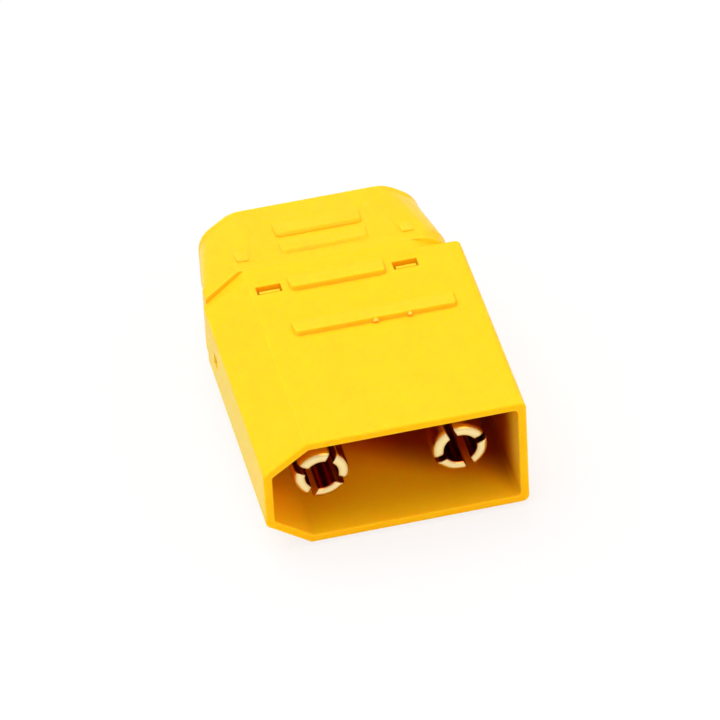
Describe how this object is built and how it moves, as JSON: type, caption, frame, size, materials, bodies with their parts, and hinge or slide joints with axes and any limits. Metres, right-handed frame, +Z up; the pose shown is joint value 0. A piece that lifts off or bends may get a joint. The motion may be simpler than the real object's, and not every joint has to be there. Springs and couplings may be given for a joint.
{
  "type": "anti-spark battery connector",
  "caption": "Keyed yellow high-current battery plug: deep shroud around split gold-plated pins, grip ridges, and a clip-on rear cap with wire holes.",
  "frame": {"origin": "centre of the footprint, in the plane of the lower grip ridges' crests", "axes": "+Z up, +Y from the mouth towards the wires, +X across the poles, with the key's cut corners at -X"},
  "size_m": [0.0212, 0.0302, 0.0109],
  "materials": {
    "housing_nylon": "satin moulded nylon, yellow",
    "cap_nylon": "satin moulded nylon, yellow",
    "gold_plate": "polished gold plating on copper alloy"
  },
  "bodies": {
    "root": {"housing": "housing_nylon", "rear_cap": "cap_nylon", "contact_left": "gold_plate", "contact_right": "gold_plate"}
  },
  "joints": []
}
